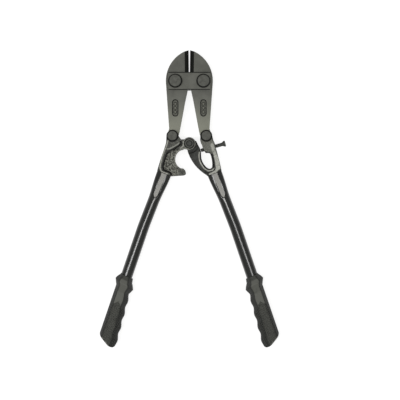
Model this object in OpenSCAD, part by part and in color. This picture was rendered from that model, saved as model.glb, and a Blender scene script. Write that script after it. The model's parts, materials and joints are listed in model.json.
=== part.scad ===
// Bolt cutters with forged jaws, an adjusting screw and steel tube handles.
// The tool lies flat: +Y towards the jaw tips, +X across, +Z up from the surface it lies on.
// Every module draws in the head's own frame (jaw bolts on Y = 0, mid plane Z = 0) inside laid().

/* [Jaws] */
// Distance between the two jaw bolts
jaw_bolt_gap = 42; // [38:1:48]
// Thickness of each jaw
jaw_t = 11; // [9:0.5:14]
// Height of the cutting edges' tips above the jaw bolts
jaw_tip_h = 46.4; // [40:0.2:54]
// Distance from the jaw bolts down to the tail bolts
jaw_tail_h = 81.8; // [74:0.2:98.2]
// Distance between the two tail bolts
tail_bolt_gap = 50.4; // [48:0.2:54]
// How far each jaw stands open at rest, in degrees
rest_open = 1.4; // [1:0.1:2]
// Width of the ground bevel along each cutting edge
bevel_w = 6; // [4:0.5:8]

/* [Strap plates] */
// Length of each strap plate, across the head
strap_l = 63; // [60:1:70]
// Width of each strap plate, along the tool
strap_w = 26; // [24:0.5:30]
// Thickness of each strap plate
strap_t = 4.5; // [3.5:0.25:6]

/* [Bolts] */
// Diameter of the jaw bolts
jaw_bolt_d = 13; // [11:0.5:14]
// Head diameter of the jaw bolts
jaw_head_d = 19.4; // [17:0.2:21]
// Diameter of the tail bolts
tail_bolt_d = 9; // [7.5:0.1:10.8]
// Head diameter of the tail bolts
tail_head_d = 15.6; // [14:0.2:17]
// Diameter of the centre bolt
centre_bolt_d = 8; // [7:0.5:9]
// Head height of the bolts
head_h = 4.2; // [3:0.2:6]
// Thickness of the spring washers
washer_t = 1.8; // [1.2:0.2:2.4]
// Height of the nuts
nut_h = 5; // [4:0.5:6]

/* [Handle forgings] */
// Distance from the tail bolts down to the centre bolt
centre_drop = 11.4; // [10:0.2:13]
// Thickness of each fork cheek
cheek_t = 4.45; // [3.5:0.05:6]
// Radius of the fork cheeks round the tail bolts
cheek_r = 9; // [8.4:0.1:9.6]
// Thickness of the forgings' rims
rim_t = 14; // [12:0.5:16]
// Diameter of the adjusting screw
screw_d = 5.7; // [5:0.1:6.4]
// Length of the adjusting screw under its head
screw_l = 34.5; // [31:0.5:34.5]

/* [Tube handles] */
// Outer diameter of the tubes
tube_d = 17.4; // [14.5:0.1:20.9]
// Wall of the tubes
tube_wall = 1.8; // [1.4:0.1:2.2]
// Length of each tube from the forging to its bend
upper_l = 85; // [70:1:110]
// Length of each tube from its bend to its end
lower_l = 168; // [150:1:240]
// Lean of the tubes above the bend, in degrees
upper_lean = 21.3; // [20:0.1:22]
// Lean of the tubes below the bend, in degrees
lower_lean = 18.8; // [16:0.1:21]

/* [Grips] */
// Length of each grip along the tube
grip_l = 104; // [96:1:130]
// Thickness of the grips
grip_t = 25; // [24:0.5:28]
// Thickness of the guard at the top of each grip
guard_t = 32; // [29:0.5:33]

/* [Hidden] */
$fn = 64;

// Clearances: between moving faces, and between a pin and its bore
face_gap = 0.15;
pin_gap = 0.05;

// Pivots
jaw_x = jaw_bolt_gap / 2;
tail_x = tail_bolt_gap / 2;
tail_y = -jaw_tail_h;
centre_y = tail_y - centre_drop;

// Layers, counted up from the mid plane
jaw_z = jaw_t / 2;
strap_z0 = jaw_z + face_gap;
strap_z1 = strap_z0 + strap_t;
cheek_z0 = jaw_z + face_gap;
cheek_z1 = cheek_z0 + cheek_t;
lap_z = 7.5;
stack_z = max(strap_z1, cheek_z1) + washer_t + nut_h;
tube_r = tube_d / 2;

// The flattened top of each tube keeps the round tube's girth
flat_w = 1.265 * tube_d;
flat_t = 0.69 * tube_d;
flat_l = 46;

// Where the tubes start, bend and end, and where the lowest grip corner lies
tube_top = [37.9, tail_y - 56.2];
tube_bend = tube_top + upper_l * [sin(upper_lean), -cos(upper_lean)];
foot_t = 12;
foot_lean = 32.5;
foot_s = lower_l + foot_t;
grip_start_s = foot_s - grip_l;
grip_end_y = tube_bend[1] - foot_s * cos(lower_lean) - 11.2;

// Centre of the tool's length, which is the origin in Y
pivot_y = -(jaw_tip_h + grip_end_y) / 2;

module laid() { translate([0, pivot_y, stack_z]) children(); }

// side = 1 draws the right-hand piece and -1 its mirror image on the left
module side(s) { if (s > 0) children(); else mirror([1, 0, 0]) children(); }

function arc(c, r, a0, a1, n = 16) = [for (i = [0 : n]) let (a = a0 + (a1 - a0) * i / n)
    c + r * [cos(a), sin(a)]];

// Points along a round stretch from p to q that stands proud of the chord by rise, to its left
function bow(p, q, rise, n = 10) = let (d = q - p, l = norm(d), m = [-d[1], d[0]] / l)
    [for (i = [0 : n]) let (t = i / n) p + d * t + m * rise * 4 * t * (1 - t)];

function turned(p, c, a) = c + [(p - c)[0] * cos(a) - (p - c)[1] * sin(a),
    (p - c)[0] * sin(a) + (p - c)[1] * cos(a)];

// A closed solid through a list of rings that have the same number of points
module skin(rings) {
    n = len(rings[0]);
    m = len(rings);
    walls = [for (j = [0 : m - 2], i = [0 : n - 1]) [j * n + i, (j + 1) * n + i,
        (j + 1) * n + (i + 1) % n, j * n + (i + 1) % n]];
    ends = [[for (i = [0 : n - 1]) i], [for (i = [n - 1 : -1 : 0]) (m - 1) * n + i]];
    polyhedron(points = [for (r = rings) each r], faces = concat(walls, ends), convexity = 6);
}

module slab(z0, z1) { translate([0, 0, z0]) linear_extrude(z1 - z0) children(); }
module drill(x, y, d, z0 = -30, z1 = 30) { translate([x, y, z0]) cylinder(d = d, h = z1 - z0); }

// ---------------------------------------------------------------- strap plates
strap_corner = 1.5;

module strap_plate(z0) {
    difference() {
        slab(z0, z0 + strap_t) polygon([for (q = [0 : 3]) let (
                sx = q == 0 || q == 3 ? 1 : -1, sy = q < 2 ? 1 : -1)
            each arc([sx * (strap_l / 2 - strap_corner), sy * (strap_w / 2 - strap_corner)],
                strap_corner, 90 * q, 90 * q + 90, 5)]);
        for (x = [-jaw_x, jaw_x]) drill(x, 0, jaw_bolt_d + 2 * pin_gap);
    }
}

module front_strap() { color([0.37, 0.37, 0.34]) laid() strap_plate(strap_z0); }
module rear_strap() { color([0.37, 0.37, 0.34]) laid() strap_plate(-strap_z1); }

// ---------------------------------------------------------------- bolts, washers and nuts
head_edge = 0.8;
thread_step = 0.5;

// Round-headed bolt through a stack: the head rests on z_top and the end stays inside the nut
module round_bolt(x, y, d, head_d, z_top) {
    translate([x, y, 0]) rotate_extrude() polygon([
        [0, -stack_z + 0.3], [d / 2 - thread_step - 0.5, -stack_z + 0.3],
        [d / 2 - thread_step, -stack_z + 0.8], [d / 2 - thread_step, -z_top], [d / 2, -z_top],
        [d / 2, z_top], [head_d / 2, z_top], [head_d / 2, z_top + head_h - head_edge],
        [head_d / 2 - head_edge, z_top + head_h], [0, z_top + head_h]]);
}

// Split spring washer under a nut
module lock_washer(x, y, d, z_top) {
    translate([x, y, -z_top - washer_t]) difference() {
        cylinder(d = d + 6, h = washer_t);
        translate([0, 0, -1]) cylinder(d = d + 0.6, h = washer_t + 2);
        rotate(30) translate([0, -0.7, -1]) cube([d, 1.4, washer_t + 2]);
    }
}

// Hexagon nut, chamfered on its outer face
module hex_nut(x, y, d, across, z_top) {
    translate([x, y, -stack_z]) difference() {
        intersection() {
            cylinder(d = across / cos(30), h = stack_z - z_top - washer_t, $fn = 6);
            cylinder(r1 = across / 2, r2 = across / 2 + stack_z - z_top, h = stack_z - z_top, $fn = 48);
        }
        translate([0, 0, -1]) cylinder(d = d - 2 * thread_step + 2 * pin_gap, h = 30);
    }
}

jaw_nut_af = 19;
tail_nut_af = 13;

module jaw_bolt(s) { side(s) round_bolt(jaw_x, 0, jaw_bolt_d, jaw_head_d, strap_z1); }
module tail_bolt(s) { side(s) round_bolt(tail_x, tail_y, tail_bolt_d, tail_head_d, cheek_z1); }

module jaw_bolt_left() { color([0.34, 0.35, 0.32]) laid() jaw_bolt(-1); }
module jaw_bolt_right() { color([0.34, 0.35, 0.32]) laid() jaw_bolt(1); }
module tail_bolt_left() { color([0.34, 0.35, 0.32]) laid() tail_bolt(-1); }
module tail_bolt_right() { color([0.34, 0.35, 0.32]) laid() tail_bolt(1); }

module jaw_lock_washer_left() { color("dimgray") laid() lock_washer(-jaw_x, 0, jaw_bolt_d, strap_z1); }
module jaw_lock_washer_right() { color("dimgray") laid() lock_washer(jaw_x, 0, jaw_bolt_d, strap_z1); }
module jaw_nut_left() { color("dimgray") laid() hex_nut(-jaw_x, 0, jaw_bolt_d, jaw_nut_af, strap_z1); }
module jaw_nut_right() { color("dimgray") laid() hex_nut(jaw_x, 0, jaw_bolt_d, jaw_nut_af, strap_z1); }

module tail_lock_washer_left() { color("dimgray") laid() lock_washer(-tail_x, tail_y, tail_bolt_d, cheek_z1); }
module tail_lock_washer_right() { color("dimgray") laid() lock_washer(tail_x, tail_y, tail_bolt_d, cheek_z1); }
module tail_nut_left() { color("dimgray") laid() hex_nut(-tail_x, tail_y, tail_bolt_d, tail_nut_af, cheek_z1); }
module tail_nut_right() { color("dimgray") laid() hex_nut(tail_x, tail_y, tail_bolt_d, tail_nut_af, cheek_z1); }

// ---------------------------------------------------------------- jaws
edge_gap = 0.05;
edge_low = 4;
edge_relief = 0.68;
land_t = 1.2;
dome_side = 35.1;
dome_r = (pow(jaw_tip_h, 2) + pow(dome_side, 2)) / (2 * dome_side) + 0.2;
dome_c = [dome_side - dome_r, 0.4];
flank_lean = 4;
boss_r = cheek_r - 0.4;
recess_l = 26;
recess_w = 9.6;
recess_deep = 0.7;
recess_y = -40;

// Outline of the right jaw as it lies at rest, from its cutting edge round by the outside
function jaw_outline() = let (
        pivot = [jaw_x, 0],
        tip = turned([edge_gap / 2, jaw_tip_h - 0.2], pivot, -rest_open),
        heel = turned([edge_gap / 2 + (jaw_tip_h - edge_low) * tan(edge_relief), edge_low], pivot, -rest_open),
        tip_a = atan2(tip[1] - dome_c[1] - 1, tip[0] - dome_c[0] + 1.2))
    concat([heel, tip], arc(dome_c, dome_r, tip_a, -flank_lean, 22), [[tail_x + 5, tail_y + 11]],
        arc([tail_x, tail_y], boss_r, 40, -184, 20),
        [[tail_x - boss_r - 0.9, tail_y + 1.8], [tail_x - boss_r - 2.9, tail_y + 11],
        [5.9, -28.8], [2.6, -13.8]]);

module jaw(s) {
    side(s) difference() {
        slab(-jaw_z, jaw_z) polygon(jaw_outline());
        drill(jaw_x, 0, jaw_bolt_d + 2 * pin_gap);
        drill(tail_x, tail_y, tail_bolt_d + 2 * pin_gap);
        // The two ground bevels run down to a narrow cutting land on the mid plane, and the edges
        // lean apart a little towards the bolts so that the tips meet first
        for (z = [-1, 1]) translate([jaw_x, 0, 0]) rotate(-rest_open) translate([-jaw_x, jaw_tip_h, 0])
            rotate(edge_relief) translate([0, 6, 0]) rotate([90, 0, 0]) linear_extrude(jaw_tip_h + 2)
                polygon([[-4, z * land_t / 2], [edge_gap / 2, z * land_t / 2], [bevel_w, z * jaw_z],
                    [bevel_w, z * (jaw_z + 4)], [-4, z * (jaw_z + 4)]]);
        for (z = [jaw_z - recess_deep, -jaw_z - 1]) slab(z, z + recess_deep + 1) polygon(concat(
            arc([jaw_x, recess_y + recess_l / 2 - recess_w / 2], recess_w / 2, 0, 180, 16),
            arc([jaw_x, recess_y - recess_l / 2 + recess_w / 2], recess_w / 2, 180, 360, 16)));
    }
}

module jaw_left() { color([0.42, 0.42, 0.38]) laid() jaw(-1); }
module jaw_right() { color([0.42, 0.42, 0.38]) laid() jaw(1); }

// ---------------------------------------------------------------- handle forgings
lap_r = 14.5;
ear_r = 9.5;
slot_r = cheek_r + 1.2;
open_pivot_gap = 2.5;
tang_w = 1.3 * (flat_w / 2 - tube_wall);
tang_t = 1.34 * (flat_t / 2 - tube_wall);
tang_l = 38;
web_t = 9;

// Tang that the tube is pressed over
module tang() {
    translate([tube_top[0], tube_top[1], 0]) rotate([0, 0, upper_lean])
        translate([-tang_w / 2, -tang_l, -tang_t / 2]) cube([tang_w, tang_l + 1, tang_t]);
}

// Corners of the shoulder that the tube's end butts against
function shoulder(side_x) = tube_top + side_x * flat_w / 2 * [cos(upper_lean), sin(upper_lean)];

// The two fork cheeks, with the slot that the jaw's tail swings in between them
module fork_slot() {
    slab(-cheek_z0, cheek_z0) translate([tail_x, tail_y]) {
        circle(slot_r);
        translate([-slot_r, 0]) square([2 * slot_r + 8, 30]);
    }
}

module cheek_outline(low_points) {
    translate([tail_x, tail_y]) circle(cheek_r);
    polygon(concat([[tail_x + cheek_r, tail_y]], low_points, [[tail_x - cheek_r, tail_y]]));
}

// Left forging, drawn on the right-hand side: rim, cast web and the open hook
hook_r = 15;
hook_c = [6.2, tail_y - 34.8];

function left_rim() = concat(
    [[tail_x + cheek_r, tail_y - 4], [tail_x + cheek_r + 0.4, tail_y - 10]],
    bow([tail_x + cheek_r + 3.2, tail_y - 19], shoulder(1), 0.4, 4),
    [shoulder(-1), [26.6, tail_y - 60.2], [8.2, tail_y - 59.1], [5.6, tail_y - 57.6],
        [5.1, tail_y - 55.6], [6.2, tail_y - 51.6], [8.6, tail_y - 48.8]],
    arc(hook_c, hook_r, -78 + 14, 90 - 6, 18),
    [[4, centre_y - ear_r + 0.4], [4, centre_y + 6], [9, centre_y + 4.2], [13, tail_y - 5.4]]);

function left_web() = concat(
    [[19.5, tail_y - 19], [30.5, tail_y - 24.4], [34.2, tail_y - 30], [37.2, tail_y - 38.4],
        [39, tail_y - 46], [38.4, tail_y - 50.4], [28.4, tail_y - 54.4], [26.6, tail_y - 60.2],
        [8.2, tail_y - 59.1], [5.6, tail_y - 57.6], [5.1, tail_y - 55.6],
        [6.2, tail_y - 51.6], [8.6, tail_y - 48.8]],
    arc(hook_c, hook_r, -78 + 14, 62, 14));

module ear(z0, z1) { slab(z0, z1) translate([0, centre_y]) circle(ear_r); }

module handle_forging_left() {
    color([0.33, 0.34, 0.31]) laid() side(-1) {
        difference() {
            union() {
                slab(-rim_t / 2, rim_t / 2) polygon(left_rim());
                slab(-cheek_z1, cheek_z1) cheek_outline([[tail_x + cheek_r + 0.4, tail_y - 10],
                    [tail_x + cheek_r + 3.2, tail_y - 19], [tail_x + 9, tail_y - 27],
                    [10.8, tail_y - 13], [10.6, tail_y - 7.4]]);
            }
            fork_slot();
            drill(0, centre_y, 2 * lap_r);
            for (z = [web_t / 2, -web_t / 2 - 10]) slab(z, z + 10) polygon(left_web());
            drill(tail_x, tail_y, tail_bolt_d + 2 * pin_gap);
        }
        difference() {
            slab(face_gap, lap_z) union() {
                translate([0, centre_y]) circle(ear_r);
                intersection() {
                    translate([0, centre_y]) circle(lap_r + 0.5);
                    polygon([[0, centre_y + 6.2], [12, centre_y + 6.2], [16, centre_y - 4],
                        [13.6, centre_y - 11], [7.5, centre_y - 8.3], [0, centre_y - 9]]);
                }
            }
            drill(0, centre_y, centre_bolt_d + 2 * pin_gap);
        }
        tang();
    }
}

// Right forging: yoke and side bar outside, arm to the centre bolt inside
arm_edge = [16, tail_y - 19];
window_draft = 1.8;

// Long window between the arm and the side bar. It widens by g from the mid plane out.
module window(g) {
    polygon(concat(bow([17.6 - g, tail_y - 25.5], [26.9 - g * 0.6, tail_y - 47.9 - g * 0.6], -3.1, 8),
        arc([30.4, tail_y - 45.2], 3.8 + g, -135, -8, 8),
        bow([34.3 + g, tail_y - 42], [31.8 + g, tail_y - 28], -0.5, 5),
        arc([28.7, tail_y - 28.4], 3 + g * 0.3, 10, 90, 5),
        [[24.6, tail_y - 25.2], [21.9, tail_y - 21.6], [21.6, tail_y - 18.9], [15.9, tail_y - 18.9]]));
}

module right_rim() {
    difference() {
        polygon(concat(
            [[tail_x + cheek_r, tail_y - 4], [tail_x + 10.7, tail_y - 7], [tail_x + 12.3, tail_y - 10]],
            bow([tail_x + 14.6, tail_y - 19], shoulder(1), 0.5, 4), [shoulder(-1)],
            bow([25, tail_y - 58], [-2.9, centre_y - 10.6], 4.2, 12),
            [[0, centre_y], [9, centre_y + 4.7], [10, centre_y + 4.4]],
            [[13, tail_y - 13], arm_edge, [21.6, tail_y - 19], [18.8, tail_y - 13], [17.1, tail_y - 10],
                [15.8, tail_y - 4]]));
        window(0);
    }
}

module adjusting_axis() {
    translate([34.3, tail_y - 16.6, 0]) rotate([0, 0, 16]) rotate([0, 90, 0]) children();
}

module handle_forging_right() {
    color([0.33, 0.34, 0.31]) laid() {
        difference() {
            union() {
                slab(-rim_t / 2, rim_t / 2) right_rim();
                slab(-cheek_z1, cheek_z1) cheek_outline([[tail_x + 10.7, tail_y - 7],
                    [tail_x + 12.3, tail_y - 10], [tail_x + 14.2, tail_y - 17.6],
                    [34.4, tail_y - 24.6], [28.7, tail_y - 26.4], [24.2, tail_y - 26.2], [21.2, tail_y - 21.4],
                    [18.8, tail_y - 13], [17.1, tail_y - 10]]);
            }
            slab(-20, 20) window(0);
            for (z = [3.4, -13.4]) slab(z, z + 10) window(window_draft);
            fork_slot();
            drill(0, centre_y, 2 * lap_r);
            drill(tail_x, tail_y, tail_bolt_d + 2 * pin_gap);
            adjusting_axis() translate([0, 0, -14.5]) cylinder(d = screw_d + 2 * pin_gap, h = 40);
        }
        difference() {
            slab(-lap_z, -face_gap) union() {
                translate([0, centre_y]) circle(ear_r);
                intersection() {
                    translate([0, centre_y]) circle(lap_r + 0.5);
                    right_rim();
                }
            }
            drill(0, centre_y, centre_bolt_d + 2 * open_pivot_gap);
        }
        tang();
    }
}

// ---------------------------------------------------------------- centre bolt and adjusting screw
centre_head_d = 14;
centre_nut_af = 13;
centre_low = lap_z + 2 * washer_t + 4.6;

module centre_bolt() {
    color([0.3, 0.3, 0.28]) laid() translate([0, centre_y, 0]) rotate_extrude() polygon([
        [0, -centre_low - 0.6], [centre_bolt_d / 2 - 0.5, -centre_low - 0.6],
        [centre_bolt_d / 2, -centre_low - 0.1], [centre_bolt_d / 2, lap_z],
        [centre_head_d / 2, lap_z], [centre_head_d / 2, lap_z + 1.6],
        [centre_head_d / 2 - 0.6, lap_z + 2.2], [4.4, lap_z + 2.2], [4.4, lap_z + 3.6],
        [3.8, lap_z + 4.2], [0, lap_z + 4.2]]);
}

module centre_washer() {
    color("dimgray") laid() difference() {
        drill(0, centre_y, 17.6, -lap_z - washer_t - face_gap, -lap_z - face_gap);
        drill(0, centre_y, centre_bolt_d + 0.4);
    }
}

module centre_lock_washer() {
    color("dimgray") laid() lock_washer(0, centre_y, centre_bolt_d, lap_z + washer_t + face_gap);
}

module centre_nut() {
    color("dimgray") laid() difference() {
        translate([0, centre_y, -centre_low]) cylinder(d = centre_nut_af / cos(30),
            h = centre_low - lap_z - 2 * washer_t - face_gap, $fn = 6);
        drill(0, centre_y, centre_bolt_d + 2 * pin_gap);
    }
}

screw_head_d = 9.4;
screw_head_h = 4;

// Hexagon-headed screw through the yoke; its tip bears on the arm
module adjusting_screw() {
    color([0.28, 0.29, 0.27]) laid() adjusting_axis() translate([0, 0, 16.4 - screw_l]) {
        translate([0, 0, 0.5]) cylinder(d = screw_d, h = screw_l - 0.5);
        cylinder(d1 = screw_d - 1, d2 = screw_d, h = 0.5);
        translate([0, 0, screw_l]) cylinder(d1 = 6.6, d2 = screw_head_d, h = 2.2, $fn = 24);
        translate([0, 0, screw_l + 2.2]) cylinder(d = screw_head_d, h = screw_head_h - 2.2, $fn = 6);
    }
}

// ---------------------------------------------------------------- tubes
module along_lower() { translate([tube_bend[0], tube_bend[1], 0]) rotate([90, 0, lower_lean]) children(); }

// One ring across the tube: t runs from 0 where it is flattened to 1 where it is round
function tube_ring(centre, lean, t, inset, n = 40) = let (
        e = (1 - cos(180 * t)) / 2,
        a = flat_w / 2 * (1 - e) + tube_r * e - inset,
        b = flat_t / 2 * (1 - e) + tube_r * e - inset)
    [for (i = [0 : n - 1]) [centre[0] + a * cos(360 * i / n) * cos(lean),
        centre[1] + a * cos(360 * i / n) * sin(lean), b * sin(360 * i / n)]];

// The tube's wall as rings from the forging, round the bend and down to the end
function tube_wall_rings(inset) = let (
        down = [sin(upper_lean), -cos(upper_lean)],
        low = [sin(lower_lean), -cos(lower_lean)],
        steps = 9)
    concat([for (j = [0 : steps]) tube_ring(tube_top + down * flat_l * j / steps, upper_lean,
            j / steps, inset)],
        [for (j = [0 : 4]) let (w = j / 4) tube_ring(
            tube_bend - down * 6 * pow(1 - w, 2) + low * 6 * pow(w, 2),
            upper_lean + (lower_lean - upper_lean) * w, 1, inset)],
        [tube_ring(tube_bend + low * lower_l, lower_lean, 1, inset)]);

// The outer rings down and the inner rings back up close into one pipe
module tube(s) {
    outer = tube_wall_rings(0);
    inner = tube_wall_rings(tube_wall);
    rings = concat(outer, [for (j = [len(inner) - 1 : -1 : 0]) inner[j]]);
    n = len(rings[0]);
    m = len(rings);
    side(s) polyhedron(points = [for (r = rings) each r],
        faces = [for (j = [0 : m - 1], i = [0 : n - 1]) [j * n + i, ((j + 1) % m) * n + i,
            ((j + 1) % m) * n + (i + 1) % n, j * n + (i + 1) % n]], convexity = 8);
}

module tube_left() { color([0.1, 0.11, 0.1]) laid() tube(-1); }
module tube_right() { color([0.1, 0.11, 0.1]) laid() tube(1); }

plug_l = 8;

// Cap pressed into the tube's end, so that it can't cut through the grip
module tube_plug(s) {
    side(s) along_lower() {
        translate([0, 0, lower_l - plug_l]) cylinder(r = tube_r - tube_wall - pin_gap, h = plug_l + 0.2);
        translate([0, 0, lower_l + 0.1]) cylinder(r = tube_r - 0.4, h = 1.6);
    }
}

module tube_plug_left() { color([0.2, 0.2, 0.2]) laid() tube_plug(-1); }
module tube_plug_right() { color([0.2, 0.2, 0.2]) laid() tube_plug(1); }

// ---------------------------------------------------------------- grips
guard_l = 26;
wave_deep = 0.9;
wave_pitch = 20.5;
palm_swell = 0.065;
grip_wall = tube_r + 1.9;

// Reach of the grip from the tube's axis at s along it: outwards, inwards, and up or down
function peak(s, at, half) = max(0, 1 - abs(s - at) / half);
function grip_out(s) = grip_wall + 4.2 * peak(s, 11.5, 8.5) - 1.6 * peak(s, 0, 8);
function grip_in(s) = grip_wall + 1.4 + (s < guard_l ? 4 * peak(s, 17, 8.5) - 2 * peak(s, 0, 12)
    : palm_swell * (s - guard_l) + wave_deep * (1 - cos(360 * (s - guard_l) / wave_pitch)));
function grip_up(s) = grip_t / 2 + (guard_t - grip_t) / 2 * peak(s, 14, 13) - 1.2 * peak(s, 0, 8);

// Eight-sided section with its top and bottom flats about as wide as the tube
function grip_ring(s, lean) = let (o = grip_out(s), i = grip_in(s), h = grip_up(s))
    [for (p = [[1, 0.36], [0.5, 1], [-0.5, 1], [-1, 0.36], [-1, -0.36], [-0.5, -1], [0.5, -1], [1, -0.36]])
        let (x = p[0] > 0 ? p[0] * o : p[0] * i) [x, p[1] * h, grip_start_s + s - lean * x]];

module grip(s) {
    steps = 38;
    far = grip_l + foot_t;
    side(s) along_lower() difference() {
        skin([for (j = [0 : steps]) let (t = j / steps) grip_ring(2 + (far - 2) * t, 0.15 * (1 - t))]);
        // The foot is cut on a slant, with its inner corner the lowest
        translate([0, 0, foot_s]) rotate([0, foot_lean, 0]) translate([-60, -60, 0]) cube([120, 120, 80]);
        translate([-17, 0, foot_s + 5.4]) rotate([0, -28, 0]) translate([-30, -60, 0]) cube([60, 120, 60]);
        translate([0, 0, -1]) cylinder(r = tube_r + pin_gap, h = lower_l + 3);
    }
}

module grip_left() { color([0.2, 0.21, 0.2]) laid() grip(-1); }
module grip_right() { color([0.2, 0.21, 0.2]) laid() grip(1); }

front_strap();
rear_strap();
jaw_bolt_left();
jaw_bolt_right();
jaw_lock_washer_left();
jaw_lock_washer_right();
jaw_nut_left();
jaw_nut_right();
jaw_left();
jaw_right();
tail_bolt_left();
tail_bolt_right();
tail_lock_washer_left();
tail_lock_washer_right();
tail_nut_left();
tail_nut_right();
handle_forging_left();
handle_forging_right();
centre_bolt();
centre_washer();
centre_lock_washer();
centre_nut();
adjusting_screw();
tube_left();
tube_right();
tube_plug_left();
tube_plug_right();
grip_left();
grip_right();
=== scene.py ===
import json
import math

import bmesh
import bpy
import numpy as np
from mathutils import Matrix, Vector


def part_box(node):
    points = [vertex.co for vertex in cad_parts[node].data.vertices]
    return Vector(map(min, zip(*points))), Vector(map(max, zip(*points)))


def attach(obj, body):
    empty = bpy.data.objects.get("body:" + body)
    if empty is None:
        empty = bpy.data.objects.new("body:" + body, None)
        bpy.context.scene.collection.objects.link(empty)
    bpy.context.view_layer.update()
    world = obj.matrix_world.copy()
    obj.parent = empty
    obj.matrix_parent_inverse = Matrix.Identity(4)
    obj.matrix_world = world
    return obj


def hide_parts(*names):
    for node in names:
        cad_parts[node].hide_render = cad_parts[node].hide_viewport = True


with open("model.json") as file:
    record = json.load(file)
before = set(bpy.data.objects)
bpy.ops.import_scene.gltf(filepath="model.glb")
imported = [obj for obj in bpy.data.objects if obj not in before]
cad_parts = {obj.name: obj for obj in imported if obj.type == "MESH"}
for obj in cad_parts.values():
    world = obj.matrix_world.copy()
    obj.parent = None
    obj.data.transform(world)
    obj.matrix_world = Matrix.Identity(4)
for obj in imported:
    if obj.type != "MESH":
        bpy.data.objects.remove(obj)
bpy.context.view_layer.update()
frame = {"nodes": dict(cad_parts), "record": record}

MM = 0.001


# ---- Floor, lights and camera ------------------------------------------------------------------
# A seamless pale table under the tool, two long strip lights that run along the handles, and a
# small panel overhead for the flats, as in a small product studio. The camera looks down.

pivots = {j["name"]: Vector(j["pos_m"]) for j in frame["record"]["behaviour"]["joints"]}
mid_z = pivots["left_jaw_turn"].z
head_y = pivots["left_jaw_turn"].y
jaw_x = pivots["right_jaw_turn"].x
tail_x = pivots["right_handle_swing"].x
tail_y = pivots["right_handle_swing"].y

view_centre = Vector((15.9 * MM, head_y - 177.5 * MM, mid_z))
view_width = 599 * MM
view_distance = 1.7

camera_data = bpy.data.cameras.new("overhead_camera")
camera_data.sensor_width = 36
camera_data.lens = 36 * view_distance / view_width
camera_data.clip_start = 0.05
camera_data.clip_end = 50
camera = bpy.data.objects.new("overhead_camera", camera_data)
bpy.context.collection.objects.link(camera)
camera.location = view_centre + Vector((0, 0, view_distance))
bpy.context.scene.camera = camera
bpy.context.scene.view_settings.view_transform = "Standard"


def soft_light(name, place, aim, width, length, power, tint=(1, 1, 1)):
    """A rectangular area light at place, turned towards aim; its power is in watts."""
    data = bpy.data.lights.new(name, "AREA")
    data.color = tint
    data.shape = "RECTANGLE"
    data.size = width
    data.size_y = length
    data.energy = power
    lamp = bpy.data.objects.new(name, data)
    bpy.context.collection.objects.link(lamp)
    lamp.location = place
    lamp.rotation_euler = (Vector(aim) - Vector(place)).to_track_quat("-Z", "Y").to_euler()


soft_light("left_strip", (-0.95, -0.1, 1.8), (0, -0.1, 0), 0.26, 1.6, 16)
soft_light("right_strip", (0.45, -0.1, 2.0), (0, -0.1, 0), 0.22, 1.6, 10)
soft_light("overhead_panel", (-0.02, 0.1, 2.05), (-0.02, 0.1, 0), 0.4, 0.34, 3.2, (1, 0.98, 0.91))

world = bpy.data.worlds.new("studio_air")
bpy.context.scene.world = world
world.use_nodes = True
air = world.node_tree.nodes["Background"].inputs
air["Color"].default_value = (1, 1, 1, 1)
air["Strength"].default_value = 0.35

table_half = 4
floor_drop = 0.2 * MM
corners = [(x * table_half, y * table_half, 0) for x, y in ((-1, -1), (1, -1), (1, 1), (-1, 1))]
floor_mesh = bpy.data.meshes.new("table")
floor_mesh.from_pydata(corners, [], [(0, 1, 2, 3)])
floor = bpy.data.objects.new("table", floor_mesh)
bpy.context.collection.objects.link(floor)
floor.location.z = -floor_drop
table_white = bpy.data.materials.new("table_white")
table_white.use_nodes = True
table_sockets = table_white.node_tree.nodes["Principled BSDF"].inputs
table_sockets["Base Color"].default_value = (0.45, 0.45, 0.45, 1)
table_sockets["Roughness"].default_value = 0.9
table_sockets["Specular IOR Level"].default_value = 0.1
table_sockets["Emission Color"].default_value = (1, 1, 1, 1)
table_sockets["Emission Strength"].default_value = 0.74
floor_mesh.materials.append(table_white)


# ---- Strap plates ------------------------------------------------------------------------------
# Two flat bars of pressed steel plate that hold the jaws from both sides. The plate is tumbled to
# break its edges, then phosphated, which leaves a fine mottled olive-grey skin.

class Wire:
    """A node's output in a material. Arithmetic on it adds a Math node for each operation."""

    def __init__(self, finish, out):
        self.finish = finish
        self.out = out

    def math(self, operation, *others):
        values = dict(enumerate((self, *others)))
        return self.finish.node("ShaderNodeMath", {"operation": operation}, values)

    def __add__(self, other):
        return self.math("ADD", other)

    def __mul__(self, other):
        return self.math("MULTIPLY", other)

    def __sub__(self, other):
        return self.math("SUBTRACT", other)

    def __rsub__(self, other):
        return (self * -1).math("ADD", other)

    def __pow__(self, other):
        return self.math("POWER", other)

    def __abs__(self):
        return self.math("ABSOLUTE")

    __radd__ = __add__
    __rmul__ = __mul__

    def above(self, edge, soft):
        """0 below the edge and 1 above it, over a soft band."""
        return self.finish.node("ShaderNodeMapRange", {"interpolation_type": "SMOOTHSTEP"},
                                {"Value": self, "From Min": edge - soft, "From Max": edge + soft})


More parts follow.
